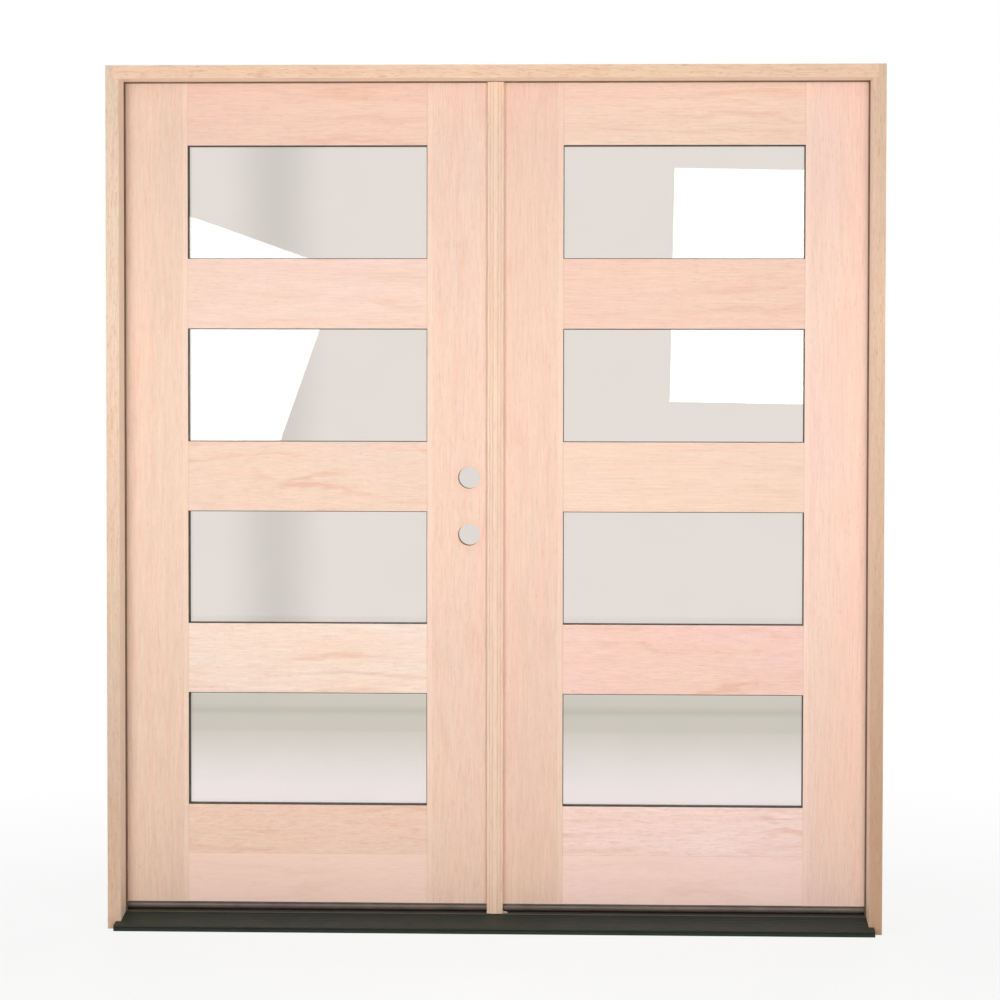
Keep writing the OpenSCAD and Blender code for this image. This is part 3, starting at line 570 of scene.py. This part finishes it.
def newGrowth(name, sizes, seeded=False):  # a tree with named sizes and a finish
    tree = bpy.data.node_groups.new(name, "GeometryNodeTree")
    sockets = [("Geometry", "Geometry"), *((label, "Float") for label in sizes)]
    sockets += [("Seed", "Int"), ("Finish", "Material")] if seeded else [("Finish", "Material")]
    for label, kind in sockets:
        tree.interface.new_socket(label, in_out="INPUT", socket_type="NodeSocket" + kind)
    tree.interface.new_socket("Geometry", in_out="OUTPUT", socket_type="NodeSocketGeometry")
    return tree, put(tree, "NodeGroupInput").outputs


def closeGrowth(tree, ins, shape):
    whole = pull(tree, "GeometryNodeRealizeInstances", {"Geometry": shape})
    dressed = pull(tree, "GeometryNodeSetMaterial", {"Geometry": whole, "Material": ins["Finish"]})
    feed(tree, put(tree, "NodeGroupOutput").inputs[0], dressed)


def moved(tree, shape, offset, turn=(0, 0, 0)):
    return pull(tree, "GeometryNodeTransform", {"Geometry": shape, "Translation": offset, "Rotation": turn})


def evenPath(tree, ins):  # the edges of the start mesh as curves with even points
    path = pull(tree, "GeometryNodeMeshToCurve", {"Mesh": ins["Geometry"]})
    return pull(tree, "GeometryNodeResampleCurve", {"Curve": path, "Length": ins["Pitch"]}, mode="LENGTH")


def grow(name, mesh, tree, values):  # runs a tree on a start mesh and keeps the result as a plain mesh
    piece = bpy.data.objects.new(name, mesh)
    scene.collection.objects.link(piece)
    modifier = piece.modifiers.new("growth", "NODES")
    modifier.node_group = tree
    for item in tree.interface.items_tree:
        if item.in_out == "INPUT" and item.name in values:
            modifier[item.identifier] = values[item.name]
    made = piece.evaluated_get(bpy.context.evaluated_depsgraph_get())
    grown = bpy.data.meshes.new_from_object(made)
    piece.modifiers.remove(modifier)
    piece.data = grown
    return piece


def solidsOf(node):  # the points of each separate solid of a CAD node
    shape = bmesh.new()
    shape.from_mesh(nodes[node].data)
    bmesh.ops.remove_doubles(shape, verts=shape.verts, dist=0.005 * mm)
    seen, solids = set(), []
    for first in shape.verts:
        if first in seen:
            continue
        seen.add(first)
        pile, points = [first], []
        while pile:
            vert = pile.pop()
            points.append(vert.co.copy())
            fresh = [edge.other_vert(vert) for edge in vert.link_edges]
            fresh = [other for other in fresh if other not in seen]
            seen.update(fresh)
            pile.extend(fresh)
        solids.append(points)
    shape.free()
    return solids


def cornersOf(points):
    low = Vector([min(p[i] for p in points) for i in range(3)])
    high = Vector([max(p[i] for p in points) for i in range(3)])
    return low, high


screwLook = {
    "Head Depth": 2.0 * mm,
    "Shank Radius": 2.4 * mm,
    "Slot Width": 1.1 * mm,
    "Slot Length": 4.8 * mm,
    "Slot Depth": 1.2 * mm,
    "Seed": 11,
}


def makeScrewTree():
    sizes = ["Head Radius", "Head Depth", "Shank Radius", "Length", "Slot Width", "Slot Length", "Slot Depth"]
    tree, ins = newGrowth("screwSet", sizes, True)
    radii = {"Radius Top": ins["Head Radius"], "Radius Bottom": ins["Shank Radius"]}
    head = pull(tree, "GeometryNodeMeshCone", {"Vertices": 24, **radii, "Depth": ins["Head Depth"]})
    down = calc(tree, "MULTIPLY", ins["Head Depth"], -1.0)
    head = moved(tree, head, vectorOf(tree, 0.0, 0.0, down))
    recess = put(tree, "GeometryNodeMeshBoolean", {"Mesh 1": head}, operation="DIFFERENCE", solver="EXACT")
    deep = calc(tree, "MULTIPLY", ins["Slot Depth"], 2.0)
    for x, y in (("Slot Width", "Slot Length"), ("Slot Length", "Slot Width")):
        slot = pull(tree, "GeometryNodeMeshCube", {"Size": vectorOf(tree, ins[x], ins[y], deep)})
        tree.links.new(slot, recess.inputs["Mesh 2"])
    rest = calc(tree, "SUBTRACT", ins["Length"], ins["Head Depth"])
    rod = {"Vertices": 16, "Radius": ins["Shank Radius"], "Depth": rest}
    middle = calc(tree, "SUBTRACT", down, calc(tree, "MULTIPLY", rest, 0.5))
    shank = moved(tree, pull(tree, "GeometryNodeMeshCylinder", rod), vectorOf(tree, 0.0, 0.0, middle))
    screw = put(tree, "GeometryNodeJoinGeometry")
    tree.links.new(recess.outputs["Mesh"], screw.inputs[0])
    tree.links.new(shank, screw.inputs[0])
    facing = pull(tree, "GeometryNodeInputNamedAttribute", {"Name": "facing"}, data_type="FLOAT_VECTOR")
    turn = pull(tree, "FunctionNodeAlignRotationToVector", {"Vector": facing}, axis="Z")
    spin = put(tree, "FunctionNodeRandomValue", {"Seed": ins["Seed"]}, data_type="FLOAT")
    spin.inputs[3].default_value = math.tau
    spun = pull(tree, "FunctionNodeEulerToRotation", {0: vectorOf(tree, 0.0, 0.0, spin.outputs[1])})
    both = {"Rotation": turn, "Rotate By": spun}
    turn = pull(tree, "FunctionNodeRotateRotation", both, rotation_space="LOCAL")
    spots = {"Points": ins["Geometry"], "Instance": screw.outputs[0], "Rotation": turn}
    closeGrowth(tree, ins, pull(tree, "GeometryNodeInstanceOnPoints", spots))
    return tree


def growScrews(tree, node, body):
    heads, facings = [], []
    for points in solidsOf(node):
        low, high = cornersOf(points)
        middle = (low + high) / 2
        reach = max((p.yz - middle.yz).length for p in points if p.x < low.x + 0.1 * mm)
        wide = (high.y - low.y) / 2
        atLow = reach > 0.8 * wide  # the head is at the wide end
        heads.append((low.x if atLow else high.x, middle.y, middle.z))
        facings.extend((-1, 0, 0) if atLow else (1, 0, 0))
    mesh = bpy.data.meshes.new(node + "_spots")
    mesh.from_pydata(heads, [], [])
    mesh.attributes.new("facing", "FLOAT_VECTOR", "POINT").data.foreach_set("vector", facings)
    own = {"Head Radius": wide, "Length": high.x - low.x, "Finish": nickel}
    piece = grow(node + "_driven", mesh, tree, {**screwLook, **own})
    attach(piece, body)
    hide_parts(node)
    print("screws:", node, len(heads))


bradLook = {
    "Pitch": 110 * mm,
    "Radius": 1.0 * mm,
    "Proud": 0.2 * mm,
}
bradPlace = {"inset": 3 * mm, "cornerGap": 30 * mm}


def makeBradTree():
    tree, ins = newGrowth("bradRow", ["Pitch", "Radius", "Proud"])
    crown = calc(tree, "MULTIPLY", ins["Radius"], 0.7)
    tall = calc(tree, "MULTIPLY", ins["Proud"], 2.0)  # half of it sunk in the bead
    cone = {"Vertices": 12, "Radius Top": crown, "Radius Bottom": ins["Radius"], "Depth": tall}
    sunk = vectorOf(tree, 0.0, calc(tree, "MULTIPLY", ins["Proud"], -1.0), 0.0)
    brad = moved(tree, pull(tree, "GeometryNodeMeshCone", cone), sunk, (math.radians(-90), 0, 0))
    spots = {"Points": evenPath(tree, ins), "Instance": brad}
    closeGrowth(tree, ins, pull(tree, "GeometryNodeInstanceOnPoints", spots))
    return tree


def growBrads(tree, leaf):
    node = leaf + "_glazing_beads"
    inset, gap = bradPlace["inset"], bradPlace["cornerGap"]
    points, edges = [], []
    lites = [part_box(f"{leaf}_glass_{i}") for i in range(1, 5)]
    for solid in solidsOf(node):
        low, high = cornersOf(solid)
        middle = (low + high) / 2
        lite = min(((a + b) / 2 for a, b in lites), key=lambda at: (at - middle).length)
        ends = [middle.copy(), middle.copy()]
        level = high.x - low.x > high.z - low.z
        along, off = (0, 2) if level else (2, 0)
        for end, sign in zip(ends, (-1, 1)):
            end.y = high.y
            end[off] = high[off] - inset if middle[off] > lite[off] else low[off] + inset
            end[along] += sign * ((high[along] - low[along]) / 2 - gap)
        edges.append((len(points), len(points) + 1))
        points.extend(ends)
    mesh = bpy.data.meshes.new(node + "_lines")
    mesh.from_pydata(points, edges, [])
    piece = grow(leaf + "_bead_brads", mesh, tree, {**bradLook, "Finish": nickel})
    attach(piece, leaf + "_leaf")
    print("brads:", leaf, len(edges), "beads")


screwTree = makeScrewTree()
growScrews(screwTree, "jamb_hinge_screws", "frame")
growScrews(screwTree, "active_hinge_screws", "active_leaf")
growScrews(screwTree, "passive_hinge_screws", "passive_leaf")
bradTree = makeBradTree()
growBrads(bradTree, "active")
growBrads(bradTree, "passive")


# Soft foam

def makeSealTree():
    tree, ins = newGrowth("sealRun", ["Width", "Thickness", "Rounding", "Pitch", "Sway"], True)
    path = evenPath(tree, ins)
    path = pull(tree, "GeometryNodeSetCurveNormal", {"Curve": path, "Normal": (1, 0, 0)}, mode="FREE")
    height = axesOf(tree, pull(tree, "GeometryNodeInputPosition"))["Z"]
    wander = noise(tree, vectorOf(tree, ins["Seed"], 0.0, height), 6.0)
    push = calc(tree, "MULTIPLY", calc(tree, "SUBTRACT", wander, 0.5), ins["Sway"])
    sway = vectorOf(tree, 0.0, push, 0.0)
    path = pull(tree, "GeometryNodeSetPosition", {"Geometry": path, "Offset": sway})
    box = {"Width": ins["Width"], "Height": ins["Thickness"]}
    outline = {"Curve": pull(tree, "GeometryNodeCurvePrimitiveQuadrilateral", box), "Radius": ins["Rounding"]}
    outline = pull(tree, "GeometryNodeFilletCurve", {**outline, "Count": 4}, mode="POLY")
    run = {"Curve": path, "Profile Curve": outline, "Fill Caps": True}
    strip = pull(tree, "GeometryNodeCurveToMesh", run)
    closeGrowth(tree, ins, pull(tree, "GeometryNodeSetShadeSmooth", {"Geometry": strip}))
    return tree


padLook = {"cuts": 11, "softness": 0.3, "footDrop": 0.5}


def addPad(shape, low, high, restAxis, restSign, drop=0.0):  # crowned block, flat on the side it rests on
    start = set(shape.verts)
    bmesh.ops.create_cube(shape, size=2.0)
    edges = [edge for edge in shape.edges if edge.verts[0] not in start]
    bmesh.ops.subdivide_edges(shape, edges=edges, cuts=padLook["cuts"], use_grid_fill=True)
    middle, half = (low + high) / 2, (high - low) / 2
    for vert in (v for v in shape.verts if v not in start):
        onRest = vert.co[restAxis] * restSign > 0.999
        a, b, c = (math.sin(t * math.pi / 2) for t in vert.co)  # rows close up towards the edges
        ball = Vector((a * math.sqrt(1 - b * b / 2 - c * c / 2 + b * b * c * c / 3),
                       b * math.sqrt(1 - c * c / 2 - a * a / 2 + c * c * a * a / 3),
                       c * math.sqrt(1 - a * a / 2 - b * b / 2 + a * a * b * b / 3)))
        soft = Vector((a, b, c)).lerp(ball, padLook["softness"])
        if onRest:
            soft[restAxis] = restSign
        vert.co = middle + Vector(s * h for s, h in zip(soft, half))
        slope = drop * (vert.co.x - low.x) / (high.x - low.x)
        vert.co.z -= slope * (vert.co.z - low.z)
    faces = [face for face in shape.faces if face.verts[0] not in start]
    for face in faces:
        face.smooth = True
    return faces


def makeCornerPads():
    shape = bmesh.new()
    for points in solidsOf("corner_pads"):
        low, high = cornersOf(points)
        addPad(shape, low, high, 0, -1 if low.x < 0 else 1)  # stuck to the jambs
    mesh = bpy.data.meshes.new("corner_foam")
    shape.to_mesh(mesh)
    shape.free()
    mesh.materials.append(padFoam)
    piece = bpy.data.objects.new("corner_foam", mesh)
    scene.collection.objects.link(piece)
    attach(piece, "frame")
    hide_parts("corner_pads")


meetingLook = {
    "Rounding": 1.7 * mm,
    "Pitch": 25 * mm,
    "Sway": 0.5 * mm,
    "Seed": 4,
}


def makeMeetingSeal(tree):
    boxes = [cornersOf(points) for points in solidsOf("astragal_seals")]
    strip, foot = sorted(boxes, key=lambda box: box[0].z - box[1].z)  # tallest first
    low, high = strip
    middle = (low + high) / 2
    mesh = bpy.data.meshes.new("meeting_line")
    mesh.from_pydata([(middle.x, middle.y, low.z), (middle.x, middle.y, high.z)], [(0, 1)], [])
    own = {"Width": high.x - low.x, "Thickness": high.y - low.y, "Finish": sealSkin}
    piece = grow("meeting_seal", mesh, tree, {**meetingLook, **own})
    shape = bmesh.new()
    shape.from_mesh(piece.data)
    for face in addPad(shape, *foot, 2, -1, padLook["footDrop"]):  # foam wedge at the foot of the astragal
        face.material_index = 1
    shape.to_mesh(piece.data)
    shape.free()
    piece.data.materials.append(padFoam)
    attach(piece, "passive_leaf")
    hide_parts("astragal_seals")


makeCornerPads()
makeMeetingSeal(makeSealTree())
print("foam: corner pads, meeting seal")


# Stage

view = {
    "place": (0.2753, -5.6330, 1.2922), "yaw": -0.0290, "pitch": -0.0261, "roll": 0.0018,
    "focal": 2337.7, "centre": (540, 460), "pixels": 1000, "sensor": 36.0,
}
lamps = {  # place, aim, size, power, roll, seen in the glass
    "key": ((-1.5, -2.6, 1.42), (-0.3, 0, 1.2), (0.8, 0.8), 23.0, 0.0, False),
    "fill": ((1.15, -2.8, 1.42), (0.3, 0, 1.2), (0.9, 0.9), 25.0, 0.0, False),
    "bar": ((0.1, -1.3, 1.3), (0.1, 0, 1.3), (3.6, 0.3), 7.0, 0.0, False),
    "strip": ((-0.4, -2.0, 3.2), (-0.3, 0, 0.6), (2.4, 0.5), 4.0, 0.0, True),
    "rear_left": ((-1.5, 2.7, 1.7), (-0.3, 0, 1.2), (0.9, 0.9), 30.0, 0.0, False),
    "rear_right": ((1.5, 2.7, 1.7), (0.3, 0, 1.2), (0.9, 0.9), 30.0, 0.0, False),
    "softbox_right": ((1.02, -5.7, 1.845), (1.02, 0, 1.845), (0.86, 1.145), 12.378, -1.0, True),
    "softbox_left": ((-1.70, -5.7, 1.575), (-1.70, 0, 1.575), (1.0, 1.1), 13.823, -19.5, True),
}
worldLook = {"ambient": 0.28, "white": (1, 1, 1, 1)}
floorLook = {
    "halfWidth": 7,
    "front": -8,
    "tone": (0.82, 0.81, 0.8, 1),
    "whiteShare": 0.84,  # near the door, where the shadow shows
    "fade": (1.2, 2.6),
    "throughGlass": (239, 230, 229),
    # painted shade on the floor near the wall, seen through the glass
    "atWall": (209, 205, 195),
    "wallReach": 1.3,
}
wallLook = {
    "place": 3.4,  # metres behind the door
    "halfWidth": 7,
    "height": 6,
    "tone": (225, 218, 212),
    "fold": (203, 196, 190),  # painted shade of a soft upright fold in the backdrop
    "foldPlace": -1.01,
    "foldReach": 0.22,
    # painted shade at the foot of the wall
    "foot": (203, 200, 188),
    "footSpan": (0.1, 0.4),
    "line": (176, 172, 160),  # painted shadow line at the top of a skirting
    "lineSpan": (0.06, 0.08, 0.105),
    "lineShare": 0.5,
    "field": (-1.58, 1.26, 2.46),  # left, right and top of the grey
    "fieldFade": 0.04,
    "viewCone": (0.996, 0.992),  # cosines off the main camera's rays
}


def surfaceWith(tree, shader):
    out = tree.nodes.get("Material Output") or put(tree, "ShaderNodeOutputWorld")
    feed(tree, out.inputs["Surface"], shader)


def buildWorld():
    world = bpy.data.worlds.new("studio")
    scene.world = world
    world.use_nodes = True
    tree = world.node_tree
    tree.nodes.clear()
    path = put(tree, "ShaderNodeLightPath").outputs
    white = worldLook["white"]
    ambient = pull(tree, "ShaderNodeBackground", {"Color": white, "Strength": worldLook["ambient"]})
    backdrop = pull(tree, "ShaderNodeBackground", {"Color": white, "Strength": 1.0})
    seen = calc(tree, "ADD", path["Is Camera Ray"], path["Is Glossy Ray"], True)
    seen = calc(tree, "ADD", seen, path["Is Transmission Ray"], True)
    surfaceWith(tree, pull(tree, "ShaderNodeMixShader", {0: seen, 1: ambient, 2: backdrop}))


def addSheet(name, corners):
    mesh = bpy.data.meshes.new(name)
    mesh.from_pydata(corners, [], [(0, 1, 2, 3)])
    sheet = bpy.data.objects.new(name, mesh)
    scene.collection.objects.link(sheet)
    return sheet


def buildFloor():
    back, side, front = wallLook["place"], floorLook["halfWidth"], floorLook["front"]
    floor = addSheet("floor", [(-side, front, 0), (side, front, 0), (side, back, 0), (-side, back, 0)])
    pale, tree, shader, place = newMaterial("pale_floor", 0.9)
    shader.inputs["Base Color"].default_value = floorLook["tone"]
    shader.inputs["Specular IOR Level"].default_value = 0.0
    path = put(tree, "ShaderNodeLightPath").outputs
    far = remap(tree, measure(tree, "LENGTH", place), *floorLook["fade"])  # white farther out
    toWall = remap(tree, axesOf(tree, place)["Y"], back - floorLook["wallReach"], back)
    through = mixColour(tree, toWall, linear(*floorLook["throughGlass"]), linear(*floorLook["atWall"]))
    shade = mixColour(tree, path["Is Transmission Ray"], (1, 1, 1, 1), through)
    glow = pull(tree, "ShaderNodeEmission", {"Color": shade, "Strength": 1.0})
    seen = calc(tree, "ADD", path["Is Camera Ray"], path["Is Transmission Ray"], True)
    share = calc(tree, "MULTIPLY", seen, remap(tree, far, 0.0, 1.0, floorLook["whiteShare"], 1.0))
    surfaceWith(tree, pull(tree, "ShaderNodeMixShader", {0: share, 1: shader.outputs[0], 2: glow}))
    floor.data.materials.append(pale)


def greyField(tree, across, up):  # the wall's colour, with painted shade at the fold, the foot and the skirting line
    away = calc(tree, "ABSOLUTE", calc(tree, "SUBTRACT", across, wallLook["foldPlace"]))
    fold = remap(tree, away, wallLook["foldReach"], 0.0, ease="SMOOTHSTEP")
    grey = mixColour(tree, fold, linear(*wallLook["tone"]), linear(*wallLook["fold"]))
    foot = remap(tree, up, *wallLook["footSpan"])
    grey = mixColour(tree, foot, linear(*wallLook["foot"]), grey)
    low, middle, high = wallLook["lineSpan"]
    line = calc(tree, "MULTIPLY", remap(tree, up, low, middle), remap(tree, up, high, middle))
    line = calc(tree, "MULTIPLY", line, wallLook["lineShare"])
    return mixColour(tree, line, grey, linear(*wallLook["line"]))


def fieldMask(tree, across, up):
    left, right, top = wallLook["field"]
    fade = wallLook["fieldFade"]
    inside = remap(tree, across, left - fade, left + fade)
    inside = calc(tree, "MULTIPLY", inside, remap(tree, across, right + fade, right - fade))
    return calc(tree, "MULTIPLY", inside, remap(tree, up, top + fade, top - fade))


def buildWall():  # grey through the lites and from the main camera, white to other views, clear from its back
    back, side, top = wallLook["place"], wallLook["halfWidth"], wallLook["height"]
    wall = addSheet("wall", [(-side, back, 0), (side, back, 0), (side, back, top), (-side, back, top)])
    wall.visible_shadow = False
    wall.visible_diffuse = False
    backdrop, tree, _, place = newMaterial("wall_paint", 0.5)
    across, _, up = axesOf(tree, place)
    geometry = put(tree, "ShaderNodeNewGeometry").outputs
    toView = calcVector(tree, "SUBTRACT", view["place"], geometry["Position"])
    ahead = measure(tree, "DOT_PRODUCT", calcVector(tree, "NORMALIZE", toView), geometry["Incoming"])
    seen = put(tree, "ShaderNodeLightPath").outputs["Is Camera Ray"]
    aside = calc(tree, "MULTIPLY", seen, remap(tree, ahead, *wallLook["viewCone"]))
    inside = calc(tree, "MULTIPLY", fieldMask(tree, across, up), calc(tree, "SUBTRACT", 1.0, aside))
    colour = mixColour(tree, inside, (1, 1, 1, 1), greyField(tree, across, up))
    glow = pull(tree, "ShaderNodeEmission", {"Color": colour, "Strength": 1.0})
    clear = pull(tree, "ShaderNodeBsdfTransparent")
    surfaceWith(tree, pull(tree, "ShaderNodeMixShader", {0: geometry["Backfacing"], 1: glow, 2: clear}))
    wall.data.materials.append(backdrop)


def buildLamps():
    for name, (at, target, size, power, roll, mirrored) in lamps.items():
        lamp = bpy.data.lights.new(name, "AREA")
        lamp.shape = "RECTANGLE"
        lamp.size, lamp.size_y = size
        lamp.energy = power
        holder = bpy.data.objects.new(name, lamp)
        scene.collection.objects.link(holder)
        aim = (Vector(target) - Vector(at)).to_track_quat("-Z", "Y").to_matrix().to_4x4()
        holder.matrix_world = Matrix.Translation(at) @ aim @ Matrix.Rotation(math.radians(roll), 4, "Z")
        holder.visible_camera = False
        holder.visible_glossy = mirrored
        holder.visible_transmission = mirrored


def buildCamera():
    data = bpy.data.cameras.new("camera")
    camera = bpy.data.objects.new("camera", data)
    scene.collection.objects.link(camera)
    yaw, pitch, roll = view["yaw"], view["pitch"], view["roll"]
    level = math.cos(pitch)
    ahead = Vector((math.sin(yaw) * level, math.cos(yaw) * level, math.sin(pitch)))
    right = Vector((math.cos(yaw), -math.sin(yaw), 0))
    up = right.cross(ahead)
    right, up = (math.cos(roll) * right + math.sin(roll) * up, math.cos(roll) * up - math.sin(roll) * right)
    turn = Matrix((right, up, -ahead)).transposed().to_4x4()
    camera.matrix_world = Matrix.Translation(view["place"]) @ turn
    data.sensor_width = view["sensor"]
    data.lens = view["focal"] * view["sensor"] / view["pixels"]
    half = view["pixels"] / 2
    data.shift_x = (half - view["centre"][0]) / view["pixels"]
    data.shift_y = (view["centre"][1] - half) / view["pixels"]
    data.clip_start, data.clip_end = 0.05, 100
    scene.camera = camera


buildWorld()
buildFloor()
buildWall()
buildLamps()
buildCamera()
scene.view_settings.view_transform = "Standard"
print("stage: floor, wall, lamps, camera")
